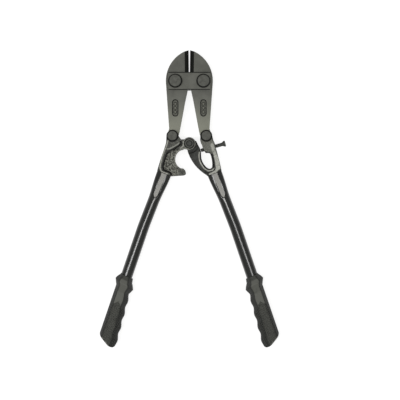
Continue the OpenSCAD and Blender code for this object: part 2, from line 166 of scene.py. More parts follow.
class Finish:
    """A procedural material: one Principled shader and the nodes that feed it."""

    def __init__(self, name, **constants):
        self.material = bpy.data.materials.new(name)
        self.material.use_nodes = True
        self.tree = self.material.node_tree
        self.shader = self.tree.nodes["Principled BSDF"]
        for socket, value in constants.items():
            self.shader.inputs[socket.replace("_", " ")].default_value = value
        self.place = self.node("ShaderNodeTexCoord", {}, {}, "Object")

    def node(self, kind, settings, sockets, output=0):
        """A new node: its settings first, then values or links for its sockets."""
        made = self.tree.nodes.new(kind)
        for key, value in settings.items():
            setattr(made, key, value)
        for socket, value in sockets.items():
            if isinstance(value, Wire):
                self.tree.links.new(value.out, made.inputs[socket])
            else:
                made.inputs[socket].default_value = value
        return Wire(self, made.outputs[output])

    def noise(self, size, detail=3.0, rough=0.5, stretch=None):
        """Noise between 0 and 1, with features of about the given size in metres."""
        place = self.place
        if stretch:
            place = self.node("ShaderNodeVectorMath", {"operation": "MULTIPLY"}, {0: place, 1: stretch})
        sockets = {"Vector": place, "Scale": 1 / size, "Detail": detail, "Roughness": rough}
        return self.node("ShaderNodeTexNoise", {"normalize": True}, sockets, "Fac")

    def mix(self, amount, a, b):
        """Colour a where amount is 0 and colour b where it is 1."""
        a, b = [(*c, 1) if isinstance(c, tuple) and len(c) == 3 else c for c in (a, b)]
        return self.node("ShaderNodeMix", {"data_type": "RGBA"}, {0: amount, 6: a, 7: b}, 2)

    def axis(self, letter):
        """One coordinate, in metres, of the place on the piece."""
        return self.node("ShaderNodeSeparateXYZ", {}, {0: self.place}, letter)

    def painted(self, name):
        """A tone that the mesh itself carries, from 0 to 1."""
        return self.node("ShaderNodeAttribute", {"attribute_name": name}, {}, "Fac")

    def normal_up(self):
        """How far the surface faces straight up (1) or down (-1)."""
        normal = self.node("ShaderNodeNewGeometry", {}, {}, "Normal")
        return self.node("ShaderNodeSeparateXYZ", {}, {0: normal}, "Z")

    def edges(self, radius):
        """1 on outside and inside edges, fading to 0 on flat stretches."""
        rounded = self.node("ShaderNodeBevel", {"samples": 4}, {"Radius": radius})
        plain = self.node("ShaderNodeNewGeometry", {}, {}, "Normal")
        settings = {"operation": "DOT_PRODUCT"}
        alike = self.node("ShaderNodeVectorMath", settings, {0: rounded, 1: plain}, "Value")
        return (1 - alike).above(0.045, 0.04)

    def colour(self, wire):
        self.tree.links.new(wire.out, self.shader.inputs["Base Color"])

    def roughness(self, wire):
        self.tree.links.new(wire.out, self.shader.inputs["Roughness"])

    def bump(self, height, depth):
        """Surface relief: height runs from 0 to 1 and depth is its size in metres."""
        made = self.node("ShaderNodeBump", {}, {"Height": height, "Distance": depth, "Strength": 1.0})
        self.tree.links.new(made.out, self.shader.inputs["Normal"])


def phosphated(name, dark, light):
    """Phosphate skin on steel: fine crystals over broad cloudy patches. Gives the finish and the
    tone to build its colour from."""
    skin = Finish(name, Metallic=0.0, Specular_IOR_Level=0.16)
    cloud = skin.noise(14 * MM, 4)
    grain = skin.noise(0.7 * MM, 2, 0.6)
    tone = skin.mix((cloud * 0.6 + grain * 0.4).above(0.5, 0.16), dark, light)
    worn = skin.edges(0.5 * MM)
    skin.roughness(0.5 + grain * 0.16 - worn * 0.1)
    skin.bump(grain * 0.7 + cloud * 0.3, 0.05 * MM)
    return skin, skin.mix(worn * 0.3, tone, (0.3, 0.3, 0.27))


def as_object(name, work):
    """An object at the origin from a finished bmesh, which is freed."""
    mesh = bpy.data.meshes.new(name)
    work.to_mesh(mesh)
    work.free()
    piece = bpy.data.objects.new(name, mesh)
    bpy.context.collection.objects.link(piece)
    return piece


def cad_copy(name, node):
    """A copy of a CAD node's mesh, with its doubles merged and without its material."""
    work = bmesh.new()
    work.from_mesh(frame["nodes"][node].data)
    bmesh.ops.remove_doubles(work, verts=work.verts, dist=2e-6)
    return as_object(name, work)


def settle(piece, sharp=35):
    """Turns the piece's modifiers into its mesh, and shades it smooth except at sharp edges."""
    layer = bpy.context.evaluated_depsgraph_get()
    layer.update()
    made = bpy.data.meshes.new_from_object(piece.evaluated_get(layer), depsgraph=layer)
    made.name = piece.name
    piece.modifiers.clear()
    piece.data = made
    made.polygons.foreach_set("use_smooth", [True] * len(made.polygons))
    made.set_sharp_from_angle(angle=math.radians(sharp))
    return piece


def break_edges(piece, width, segments=2, angle=28):
    """Rounds the piece's sharp edges over, by the given width."""
    bevel = piece.modifiers.new("broken_edges", "BEVEL")
    bevel.width = width
    bevel.segments = segments
    bevel.limit_method = "ANGLE"
    bevel.angle_limit = math.radians(angle)
    bevel.use_clamp_overlap = True
    bevel.miter_outer = "MITER_ARC"
    return settle(piece)


# Near black for painted shade: the lines and rings where shade falls along the straps' edges, round the
# bolt heads and in the jaws' sunk ovals.
painted_shade_black = (0.008, 0.0085, 0.0075)
strap_w = 26 * MM
for node in ("front_strap", "rear_strap"):
    skin, tone = phosphated(node + "_phosphate", (0.1, 0.101, 0.088), (0.135, 0.137, 0.119))
    across = abs(skin.axis("X")) - jaw_x
    along = skin.axis("Y") - head_y
    from_bolt = (across * across + along * along) ** 0.5
    # Painted shade: near-black bands along the strap's upper and lower edges, and a ring round the jaw
    # bolt's head.
    painted_shade_line = abs(along + 0.15 * MM).above(strap_w / 2 - 1.05 * MM, 0.25 * MM)
    painted_shade_ring = 1 - from_bolt.above(10.6 * MM, 0.3 * MM)
    tone = skin.mix(painted_shade_line.math("MAXIMUM", painted_shade_ring), tone, painted_shade_black)
    if node == "rear_strap":
        # Painted light: the rear strap's lower edge band is coloured pale grey.
        painted_light_band = (-1 * along).above(strap_w / 2 - 2 * MM, 0.2 * MM)
        tone = skin.mix(painted_light_band, tone, (0.55, 0.55, 0.53))
    skin.colour(tone)
    plate = break_edges(cad_copy(node + "_plate", node), 0.45 * MM, 3)
    plate.data.materials.append(skin.material)
    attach(plate, "head")
    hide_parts(node)


# ---- Jaws --------------------------------------------------------------------------------------
# Drop-forged alloy steel, ground flat on both sides and phosphated like the straps. The cutting
# edges are ground after that; their near-black colour is a painted dark reflection. The tails are
# painted lighter towards their ends as a painted sheen. The forging die leaves a sunk oval with
# three plain pips in each tail, with painted shade along the oval's wall and round each pip.

recess_y = head_y - 40 * MM
recess_l = 26 * MM
recess_w = 9.6 * MM
recess_deep = 0.7 * MM
mouth_half = 9 * MM
jaw_skin, jaw_tone = phosphated("jaw_phosphate", (0.095, 0.096, 0.084), (0.13, 0.132, 0.115))
# Painted sheen: the jaws grow lighter towards their tails.
down = 1 - jaw_skin.axis("Y").above(head_y - 48 * MM, 34 * MM)
jaw_tone = jaw_skin.mix(down * 0.8, jaw_tone, (0.27, 0.275, 0.222))
jaw_skin.colour(jaw_tone)

# Painted reflection: the ground cutting bevels are coloured near black for the dark surroundings they
# mirror.
ground = Finish("ground_edge", Metallic=0.5, Specular_IOR_Level=0.2)
scratch = ground.noise(0.5 * MM, 2, 0.6, (8, 1, 1))
ground.colour(ground.mix(scratch, (0.009, 0.0095, 0.008), (0.02, 0.021, 0.018)))
ground.roughness(0.32 + scratch * 0.2)
ground.bump(scratch, 0.02 * MM)

sunk = Finish("sunk_oval", Specular_IOR_Level=0.16)
pitting = sunk.noise(0.9 * MM, 3, 0.6)
across = abs(sunk.axis("X")) - jaw_x
along = (abs(sunk.axis("Y") - recess_y) - (recess_l - recess_w) / 2).math("MAXIMUM", 0)
from_middle = (across * across + along * along) ** 0.5
# Painted shade: near black along the inside of the oval's wall.
painted_shade_ring = from_middle.above(recess_w / 2 - 1.5 * MM, 0.25 * MM)
pip_r = 2 * MM
pip_flatten = 0.27
pip_pitch = 6 * MM
from_pip = from_middle + 1
for step in (-1, 0, 1):
    off = sunk.axis("Y") - (recess_y + step * pip_pitch)
    from_pip = from_pip.math("MINIMUM", (across * across + off * off) ** 0.5)
# Painted shade: a near-black ring round the foot of each pip.
pip_ring = 1 - abs(from_pip - (pip_r + 0.1 * MM)).above(0.45 * MM, 0.2 * MM)
sunk_tone = sunk.mix(pitting.above(0.5, 0.12), (0.06, 0.061, 0.052), (0.15, 0.152, 0.128))
sunk_tone = sunk.mix(1 - from_pip.above(pip_r, 0.2 * MM), sunk_tone, (0.15, 0.152, 0.128))
sunk.colour(sunk.mix(painted_shade_ring.math("MAXIMUM", pip_ring), sunk_tone, painted_shade_black))
sunk.roughness(0.6 + pitting * 0.2)
sunk.bump(pitting, 0.12 * MM)


def add_pips(jaw, node, side):
    """Joins three low domes to the floor of the sunk oval, on both faces of a jaw."""
    low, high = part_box(node)
    work = bmesh.new()
    for z in (low[2] + recess_deep, high[2] - recess_deep):
        for step in (-1, 0, 1):
            spot = Matrix.Translation((side * jaw_x, recess_y + step * pip_pitch, z))
            bmesh.ops.create_uvsphere(work, u_segments=32, v_segments=16, radius=pip_r,
                                      matrix=spot @ Matrix.Diagonal((1, 1, pip_flatten, 1)))
    domes = as_object("pips", work)
    union = jaw.modifiers.new("pips", "BOOLEAN")
    union.operation = "UNION"
    union.solver = "EXACT"
    union.object = domes
    settle(jaw)
    bpy.data.objects.remove(domes)


for side, hand in ((-1, "left"), (1, "right")):
    jaw = cad_copy(f"jaw_{hand}_forged", f"jaw_{hand}")
    break_edges(jaw, 0.3 * MM, 2, 20)
    add_pips(jaw, f"jaw_{hand}", side)
    jaw.data.materials.clear()
    jaw.data.materials.append(jaw_skin.material)
    jaw.data.materials.append(ground.material)
    jaw.data.materials.append(sunk.material)
    for face in jaw.data.polygons:
        at, facing = face.center, face.normal
        in_mouth = at.y > head_y - 1 * MM and abs(at.x) < mouth_half
        if in_mouth and facing.x * side < -0.15 and abs(facing.z) < 0.98:
            face.material_index = 1
        beside, beyond = abs(at.x - side * jaw_x), abs(at.y - recess_y)
        if beside < recess_w / 2 + 0.1 * MM and beyond < recess_l / 2 + 0.3 * MM:
            face.material_index = 2
    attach(jaw, f"{hand}_jaw")
    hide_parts(f"jaw_{hand}")


# ---- Bolts -------------------------------------------------------------------------------------
# Turned steel bolts with broad flat round heads. The lathe leaves faint rings on the heads, and
# the head's rounded-over rim carries painted shade.

def turned_piece(name, centre, profile, around=96):
    """A solid of revolution about the vertical through centre, from (radius, height) pairs."""
    rings = []
    work = bmesh.new()
    for r, z in profile:
        places = [(centre.x, centre.y, z)]
        if r > 0:
            angles = [2 * math.pi * k / around for k in range(around)]
            places = [(centre.x + r * math.cos(a), centre.y + r * math.sin(a), z) for a in angles]
        rings.append([work.verts.new(place) for place in places])
    for low, high in zip(rings, rings[1:]):
        for k in range(around):
            j = (k + 1) % around
            corners = [low[k % len(low)], low[j % len(low)], high[j % len(high)], high[k % len(high)]]
            corners = list(dict.fromkeys(corners))
            if len(corners) > 2:
                work.faces.new(corners)
    bmesh.ops.recalc_face_normals(work, faces=work.faces)
    return settle(as_object(name, work), 40)


def rounded(r0, z0, r1, z1, steps=5):
    """A quarter turn from the outside of a rim (r0, z0) up and in to (r1, z1)."""
    angles = [math.pi / 2 * k / steps for k in range(steps + 1)]
    return [(r1 + (r0 - r1) * math.cos(a), z0 + (z1 - z0) * math.sin(a)) for a in angles]


lathe_step = 0.45 * MM


def blacked(name, centre, rim_r):
    """Blackened turned steel whose head is rubbed paler inside its rim, and whose rim is painted shade."""
    steel = Finish(name, Specular_IOR_Level=0.16)
    x = steel.axis("X") - centre.x
    y = steel.axis("Y") - centre.y
    radius = (x * x + y * y) ** 0.5
    rings = (radius * (2 * math.pi / lathe_step)).math("SINE") * 0.5 + 0.5
    patch = steel.noise(4 * MM, 4, 0.6)
    grain = steel.noise(0.5 * MM, 2)
    rubbed = (patch * 0.7 + grain * 0.3).above(0.5, 0.17)
    face = steel.mix(rubbed, (0.07, 0.071, 0.062), (0.112, 0.114, 0.1))
    # Painted shade: the rim outside rim_r is near black.
    steel.colour(steel.mix(radius.above(rim_r, 0.3 * MM), face, painted_shade_black))
    steel.roughness(0.5 + grain * 0.2)
    steel.bump(rings * 0.35 + grain * 0.65, 0.025 * MM)
    return steel.material


bolt_head_h = 4.2 * MM


def round_bolt(node, body, shank_r, head_r, rim):
    """A turned bolt with a round head, whose rim is rounded over by rim."""
    low, high = (Vector(corner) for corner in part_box(node))
    centre = (low + high) / 2
    bottom, top = low.z, high.z
    under = top - bolt_head_h
    thread_r = shank_r - 0.5 * MM
    profile = [(0, bottom), (thread_r - 0.6 * MM, bottom), (thread_r, bottom + 0.6 * MM),
               (thread_r, bottom + 6 * MM), (shank_r, bottom + 6.2 * MM), (shank_r, under),
               (head_r - 0.5 * MM, under), (head_r, under + 0.4 * MM)]
    profile += rounded(head_r, top - rim, head_r - rim, top - 0.1 * MM)
    profile += [(head_r * 0.5, top - 0.02 * MM), (0, top)]
    bolt = turned_piece(node + "_turned", centre, profile)
    bolt.data.materials.append(blacked(node + "_black", centre, head_r - rim * 0.8))
    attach(bolt, body)
    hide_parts(node)


for hand in ("left", "right"):
    round_bolt(f"jaw_bolt_{hand}", "head", 6.5 * MM, 9.7 * MM, 1.5 * MM)
    round_bolt(f"tail_bolt_{hand}", f"{hand}_handle", 4.5 * MM, 7.8 * MM, 1.3 * MM)


# ---- Nuts and washers --------------------------------------------------------------------------
# Standard hexagon nuts over split spring washers at the back, dark zinc plated. Their corners are
# chamfered and catch the light.

plated = Finish("dark_zinc", Metallic=0.85)
haze = plated.noise(3 * MM, 3, 0.55)
speck = plated.noise(0.4 * MM, 2)
plated.colour(plated.mix(haze, (0.13, 0.13, 0.12), (0.24, 0.24, 0.22)))
plated.roughness(0.33 + speck * 0.2)
plated.bump(speck, 0.02 * MM)

hardware = [(f"{place}_{kind}_{hand}", "head" if place == "jaw" else f"{hand}_handle")
            for place in ("jaw", "tail") for kind in ("lock_washer", "nut") for hand in ("left", "right")]
hardware += [(node, "left_handle") for node in ("centre_washer", "centre_lock_washer", "centre_nut")]
for node, body in hardware:
    made = break_edges(cad_copy(node + "_plated", node), 0.22 * MM, 2, 25)
    made.data.materials.append(plated.material)
    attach(made, body)
    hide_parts(node)


# ---- Handle forgings ---------------------------------------------------------------------------
# Drop forgings with a scaly skin, dipped in black paint. The left one carries the open hook and a
# sunk cast web, the right one the yoke for the adjusting screw and the long arm.

def drop_flecks(piece, fewest=500):
    """Removes the loose flecks, of less than the fewest points, that rebuilding a skin can leave."""
    work = bmesh.new()
    work.from_mesh(piece.data)
    seen, flecks = set(), []
    for first in work.verts:
        if first in seen:
            continue
        island, edge = {first}, [first]
        while edge:
            edge = [far for near in edge for link in near.link_edges
                    for far in link.verts if far not in island and not island.add(far)]
        seen |= island
        if len(island) < fewest:
            flecks += island
    bmesh.ops.delete(work, geom=flecks, context="VERTS")
    work.to_mesh(piece.data)
    work.free()
    return piece


def forged_shape(name, node, voxel, smooth_turns):
    """A forging from its CAD solid: rebuilt as an even skin, with its edges rolled."""
    piece = cad_copy(name, node)
    remesh = piece.modifiers.new("even_skin", "REMESH")
    remesh.mode = "VOXEL"
    remesh.voxel_size = voxel
    soften = piece.modifiers.new("rolled_edges", "SMOOTH")
    soften.factor = 0.5
    soften.iterations = smooth_turns
    return drop_flecks(settle(piece, 60))


def from_line(spots, line):
    """How far each spot (x, y) is from a line of straight stretches through the given points."""
    nearest = np.full(len(spots), np.inf)
    for start, end in zip(line, line[1:]):
        start, run = np.array(start), np.array(end) - np.array(start)
        t = np.clip((spots - start) @ run / (run @ run), 0, 1)
        nearest = np.minimum(nearest, np.linalg.norm(spots - start - t[:, None] * run, axis=1))
    return nearest


def stroke(spots, line, width, soft=0.5):
    """1 within half the width of the line, fading to 0 over soft."""
    return np.clip((width / 2 + soft - from_line(spots, line)) / soft, 0, 1)


def forged_paint(name, dark, light, cast_dark, cast_light, highlight_tone):
    """Black paint over forging scale: rough where the die left scale, with painted highlights on ridges and
    painted shade in grooves.
    """
    paint = Finish(name, Specular_IOR_Level=0.18)
    scale = paint.noise(1.7 * MM, 4, 0.7)
    pit = paint.noise(0.6 * MM, 2, 0.6)
    patch = paint.noise(5 * MM, 3, 0.6)
    cast, painted_highlight, groove_shade = (paint.painted(tone) for tone in ("cast", "painted_highlight", "groove_shade"))
    smooth = paint.mix((patch * 0.6 + scale * 0.4).above(0.5, 0.15), dark, light)
    rough = paint.mix((scale * 0.75 + pit * 0.25).above(0.515, 0.075), cast_dark, cast_light)
    tone = paint.mix(cast, smooth, rough)
    # Painted highlight where the mesh carries it, broken up by the scale.
    tone = paint.mix(painted_highlight * (0.45 + (scale * 0.7 + patch * 0.3).above(0.48, 0.16) * 0.55), tone, highlight_tone)
    # Painted shade in the grooves, near black.
    paint.colour(paint.mix(groove_shade, tone, (0.006, 0.0062, 0.0055)))
    paint.roughness(0.42 + cast * 0.22 + pit * 0.14 - painted_highlight * 0.14)
    paint.bump(scale * (0.35 + cast * 0.4) + pit * 0.25, 0.4 * MM)
    return paint.material


def carry(piece, side, sink, **tones):
    """Stores painted tones on the mesh, and sinks the grooves into both of its faces. The tones
    are worked out in millimetres from the tail bolt, outwards and up, as for the right hand."""
    mesh = piece.data
    spots = np.array([(side * v.co.x / MM, (v.co.y - tail_y) / MM) for v in mesh.vertices])
    levels = np.array([(v.co.z - mid_z) / MM for v in mesh.vertices])
    values = {name: tone(spots, levels) for name, tone in tones.items()}
    for vertex, level, depth in zip(mesh.vertices, levels, values["groove_shade"]):
        vertex.co.z -= math.copysign(sink * depth * min(abs(level) / 3, 1), level)
    for name, value in values.items():
        mesh.attributes.new(name, "FLOAT", "POINT").data.foreach_set("value", value.astype(np.float32))


def ring(spots, centre, radius, width, soft=0.4):
    """1 on a circle's line of the given width, fading to 0 over soft."""
    away = abs(np.linalg.norm(spots - np.array(centre), axis=1) - radius)
    return np.clip((width / 2 + soft - away) / soft, 0, 1)


tail_bolt = (tail_x / MM, 0)
centre_bolt_at = (0, -11.4)
hook_at = (6.2, -34.8)
shoulder = [(27.6, -60.2), (48.2, -52.2)]
web_line = [(10.8, -11.2), (20.9, -18.2), (30.5, -22.9), (34.7, -28.6), (37.7, -38.2), (39.5, -45.9),
            (38.6, -50.7), (34.2, -52.6), (28.5, -54.6), (27, -58.2)]
rim_line = [(31.8, -7.4), (34, -15), (36.3, -20.8), (38.8, -25.7), (41.2, -33.2), (42.8, -40.6),
            (43.9, -47.3), (41.8, -53), (33, -56.6)]
hook_back = [(34.6, -4), (35, -10), (38, -19), (42.4, -30), (45, -40), (47.8, -52)]


def hook_cast(spots, levels):
    """The rough skin: the hook's web, and a little of the fork above it."""
    web = np.clip((6.6 - abs(levels)) / 0.8, 0, 1)
    fork = np.clip((10.5 - np.linalg.norm(spots - np.array((21, -12)), axis=1)) / 3, 0, 1) * 0.3
    foot = np.clip((18 - spots[:, 0]) / 4, 0, 1) * np.clip((-48 - spots[:, 1]) / 3, 0, 1)
    return np.maximum(web * (1 - 0.75 * foot), fork)


def hook_painted_highlight(spots, levels):
    """Painted highlights on the ridges: the rim, the fork's lower ridge, the rib and the ear's edge."""
    rim = stroke(spots, rim_line, 0.7, 0.8)
    ridge = stroke(spots, [(33, -19.4), (30, -19.8), (21, -15.2), (13.4, -9.8)], 0.8, 0.9) * 0.55
    rib = stroke(spots, [(8.9, -8.5), (9.2, -15.5), (13.5, -18.5)], 1.1, 0.6) * 0.8
    arc = ring(spots, hook_at, 15.9, 0.9, 0.7) * (spots[:, 1] > -46) * 0.6
    ear = ring(spots, centre_bolt_at, 8.7, 0.5, 0.5) * 0.5
    return np.maximum.reduce([rim, ridge, rib, arc, ear])


def hook_groove_shade(spots, levels):
    """Painted shade in the grooves: round the web, under the ear, at the tube's end and round the bolts."""
    notches = np.maximum(stroke(spots, [(12.6, -8.6), (12.1, -13.2)], 2.4),
                         stroke(spots, [(6.5, -8.2), (6.4, -14.6)], 1.7))
    end = stroke(spots, shoulder, 0.7, 0.5)
    outline = stroke(spots, hook_back, 0.3, 0.8)
    bolts = np.maximum(ring(spots, tail_bolt, 8.3, 1.1), ring(spots, centre_bolt_at, 7.3, 0.5))
    return np.maximum.reduce([stroke(spots, web_line, 2.0, 0.6), notches, end, outline * 0.8, bolts])


bar_top = [(33.8, -13.5), (36.4, -22.3), (39.6, -31)]
bar_line = [(39.9, -31), (41.2, -35.7), (42.9, -47.3)]
bar_foot = [(42.9, -47.3), (38.5, -53.6), (31.5, -56.9)]
window_line = [(15, -24.5), (14.3, -30), (15, -36), (17.6, -42.3), (22.4, -49), (28.4, -52.3),
               (34.6, -51), (37, -47.8)]
yoke_back = [(34.6, -4), (37.2, -10), (39.5, -19), (43.5, -30), (46, -41), (48.6, -52)]


def yoke_cast(spots, levels):
    """The rough skin: the yoke's two cheeks."""
    yoke = np.clip((spots[:, 0] - 16) / 2, 0, 1) * np.clip((spots[:, 1] + 27) / 1.5, 0, 1)
    return yoke * np.clip((abs(levels) - 5) / 2, 0, 1)


def yoke_painted_highlight(spots, levels):
    """Painted highlights: the bar outside the window, and the window's rim."""
    bar = np.maximum(stroke(spots, bar_line, 5.6, 1.2), stroke(spots, bar_foot, 3.4, 1.0))
    bar = np.maximum(bar, stroke(spots, bar_top, 3.0, 1.6) * 0.85)
    rim = stroke(spots, window_line, 0.7, 0.8)
    return np.maximum(bar, rim) * np.clip((abs(levels) - 5.2) / 1.2, 0, 1)


def yoke_groove_shade(spots, levels):
    """Painted shade: the window's wall, the lines beside the bar, the tube's end and the bolt."""
    outline = stroke(spots, yoke_back, 0.5, 0.9)
    below = [(38.6, -46.5), (37.8, -51), (33.5, -53.9), (27.5, -55.6), (23.5, -54)]
    corner = stroke(spots, below, 0.6, 0.6)
    in_window = from_line(spots, [(22, -27), (23, -38), (30, -46)]) < 9.5
    wall = np.clip((6.4 - abs(levels)) / 1.2, 0, 1) * in_window
    inner = stroke(spots, [(33, -27.6), (36, -33), (37.1, -42), (36.2, -47.2)], 1.5, 0.6)
    lobe = stroke(spots, [(22.5, -23.8), (26.5, -24.9), (30.5, -25.4)], 1.3, 0.6)
    return np.maximum.reduce([stroke(spots, shoulder, 0.8, 0.5), outline * 0.85, corner, wall, inner, lobe,
                              ring(spots, tail_bolt, 8.3, 1.1, 0.4)])


hook_paint = forged_paint("hook_paint", (0.022, 0.0225, 0.02), (0.095, 0.097, 0.086),
                          (0.012, 0.0125, 0.0105), (0.27, 0.272, 0.233), (0.42, 0.423, 0.37))
yoke_paint = forged_paint("yoke_paint", (0.014, 0.0148, 0.013), (0.045, 0.047, 0.042),
                          (0.1, 0.101, 0.088), (0.2, 0.203, 0.176), (0.47, 0.473, 0.42))
for side, hand, paint, tones in (
        (-1, "left", hook_paint, {"cast": hook_cast, "painted_highlight": hook_painted_highlight, "groove_shade": hook_groove_shade}),
        (1, "right", yoke_paint, {"cast": yoke_cast, "painted_highlight": yoke_painted_highlight, "groove_shade": yoke_groove_shade})):
    forging = forged_shape(f"handle_forging_{hand}_cast", f"handle_forging_{hand}", 0.5 * MM, 6)
    carry(forging, side, 0.45 * MM, **tones)
    forging.data.materials.append(paint)
    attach(forging, f"{hand}_handle")
    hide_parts(f"handle_forging_{hand}")


# ---- Centre bolt -------------------------------------------------------------------------------
# The bolt that the two handles turn on: a low flanged head with a raised round boss, blackened,
# held at the back by the plain washer, the spring washer and the nut.

low, high = (Vector(corner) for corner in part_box("centre_bolt"))
centre = (low + high) / 2
top = high.z
flange_top = top - 2 * MM
profile = [(0, low.z), (3.4 * MM, low.z), (4 * MM, low.z + 0.6 * MM), (4 * MM, flange_top - 2.2 * MM),
           (6.7 * MM, flange_top - 2.2 * MM), (7 * MM, flange_top - 1.9 * MM)]
profile += rounded(7 * MM, flange_top - 0.9 * MM, 6.1 * MM, flange_top)
profile += [(5.2 * MM, flange_top - 0.35 * MM), (4.5 * MM, flange_top - 0.35 * MM)]
profile += rounded(4.4 * MM, top - 0.7 * MM, 3.7 * MM, top)
profile += [(1.5 * MM, top - 0.15 * MM), (0, top - 0.3 * MM)]
centre_bolt = turned_piece("centre_bolt_turned", centre, profile)
boss = Finish("centre_bolt_black", Specular_IOR_Level=0.2)
x = boss.axis("X") - centre.x
y = boss.axis("Y") - centre.y
radius = (x * x + y * y) ** 0.5
mottle = boss.noise(2.2 * MM, 3, 0.6)
flange = radius.above(4.75 * MM, 0.25 * MM) * (1 - radius.above(6.2 * MM, 0.4 * MM))
middle = 1 - radius.above(3.1 * MM, 0.5 * MM)
boss_tone = boss.mix(mottle.above(0.5, 0.15), (0.028, 0.029, 0.026), (0.06, 0.062, 0.055))
boss_tone = boss.mix(1 - middle, boss_tone, (0.014, 0.0145, 0.013))
boss.colour(boss.mix(flange * (0.4 + mottle * 0.5), boss_tone, (0.13, 0.132, 0.117)))
boss.roughness(0.42 + mottle * 0.2)
boss.bump(mottle, 0.06 * MM)
centre_bolt.data.materials.append(boss.material)
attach(centre_bolt, "left_handle")
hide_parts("centre_bolt")


# ---- Adjusting screw ---------------------------------------------------------------------------
# A blackened M6 screw with a flared hexagon head. Its rolled thread runs all the way up to the
# head, and its plain point bears on the right forging's arm.

def new_tree(name, **inputs):
    """A node tree that gives a shape and takes the named inputs: a size, or a kind of socket."""
    tree = bpy.data.node_groups.new(name, "GeometryNodeTree")
    tree.interface.new_socket(name="Geometry", in_out="OUTPUT", socket_type="NodeSocketGeometry")
    for title, value in inputs.items():
        kind = value if isinstance(value, str) else "NodeSocketFloat"
        made = tree.interface.new_socket(name=title, in_out="INPUT", socket_type=kind)
        if kind == "NodeSocketFloat":
            made.default_value = value
    return tree


def gn(tree, kind, settings, sockets):
    """A node of the tree: its settings first, then values or links for its sockets."""
    made = tree.nodes.new(kind)
    for key, value in settings.items():
        setattr(made, key, value)
    for socket, value in sockets.items():
        if isinstance(value, bpy.types.NodeSocket):
            tree.links.new(value, made.inputs[socket])
        else:
            made.inputs[socket].default_value = value
    return made


def end_tree(tree, shape, material):
    """Ends the tree: the shape is made real, given its material and put out."""
    real = gn(tree, "GeometryNodeRealizeInstances", {}, {"Geometry": shape})
    coated = gn(tree, "GeometryNodeSetMaterial", {}, {"Geometry": real.outputs[0], "Material": material})
    out = tree.nodes.new("NodeGroupOutput")
    tree.links.new(coated.outputs[0], out.inputs[0])
    return tree


def thread_tree():
    """A threaded rod along Z from its foot: a core with one helical ridge wound round it."""
    tree = new_tree("threaded_rod", Radius=2.85 * MM, Length=30 * MM, Pitch=1 * MM, Ridge=0.42 * MM,
                    Steel="NodeSocketMaterial")
    given = tree.nodes.new("NodeGroupInput").outputs
    axis_r = gn(tree, "ShaderNodeMath", {"operation": "SUBTRACT"}, {0: given["Radius"], 1: given["Ridge"]})
    turns = gn(tree, "ShaderNodeMath", {"operation": "DIVIDE"}, {0: given["Length"], 1: given["Pitch"]})
    helix = gn(tree, "GeometryNodeCurveSpiral", {}, {
        "Resolution": 24, "Rotations": turns.outputs[0], "Start Radius": axis_r.outputs[0],
        "End Radius": axis_r.outputs[0], "Height": given["Length"]})
    ridge = gn(tree, "GeometryNodeCurvePrimitiveCircle", {}, {"Resolution": 4, "Radius": given["Ridge"]})
    wound = gn(tree, "GeometryNodeCurveToMesh", {}, {
        "Curve": helix.outputs[0], "Profile Curve": ridge.outputs[0], "Fill Caps": True})
    core = gn(tree, "GeometryNodeMeshCylinder", {}, {
        "Vertices": 48, "Radius": axis_r.outputs[0], "Depth": given["Length"]})
    half = gn(tree, "ShaderNodeMath", {"operation": "MULTIPLY"}, {0: given["Length"], 1: 0.5})
    lift = gn(tree, "ShaderNodeCombineXYZ", {}, {"Z": half.outputs[0]})
    stood = gn(tree, "GeometryNodeTransform", {}, {
        "Geometry": core.outputs[0], "Translation": lift.outputs[0]})
    both = tree.nodes.new("GeometryNodeJoinGeometry")
    tree.links.new(wound.outputs[0], both.inputs[0])
    tree.links.new(stood.outputs[0], both.inputs[0])
    return end_tree(tree, both.outputs[0], given["Steel"])


def grown(name, tree, base_mesh=None, **sizes):
    """A plain mesh object from a node tree and its named sizes."""
    piece = bpy.data.objects.new(name, base_mesh or bpy.data.meshes.new(name))
    bpy.context.collection.objects.link(piece)
    grow = piece.modifiers.new("grow", "NODES")
    grow.node_group = tree
    for item in tree.interface.items_tree:
        if item.in_out == "INPUT" and item.name in sizes:
            grow[item.identifier] = sizes[item.name]
    return settle(piece, 40)


def joined(name, parts):
    """One mesh object from several, keeping each part's material."""
    work = bmesh.new()
    slots = []
    for part in parts:
        start = len(work.faces)
        work.from_mesh(part.data)
        work.faces.ensure_lookup_table()
        for face in work.faces[start:]:
            used = part.data.materials[face.material_index]
            if used not in slots:
                slots.append(used)
            face.material_index = slots.index(used)
        bpy.data.objects.remove(part)
    piece = as_object(name, work)
    for used in slots:
        piece.data.materials.append(used)
    return piece


screw_black = Finish("screw_black", Metallic=0.5)
rub = screw_black.noise(1.5 * MM, 3)
screw_black.colour(screw_black.mix(rub, (0.028, 0.029, 0.026), (0.085, 0.087, 0.08)))
screw_black.roughness(0.38 + rub * 0.2)

screw_joint = next(j for j in frame["record"]["behaviour"]["joints"] if j["name"] == "adjusting_screw_turn")
screw_axis = Vector(screw_joint["axis"]).normalized()
screw_turn = Vector((0, 0, 1)).rotation_difference(screw_axis).to_matrix().to_4x4()
screw_l = 34.5 * MM
screw_r = 2.85 * MM
head_from = 16.4 * MM
tip_at = Vector(screw_joint["pos_m"]) + screw_axis * (head_from - screw_l)
tip_place = Matrix.Translation(tip_at) @ screw_turn

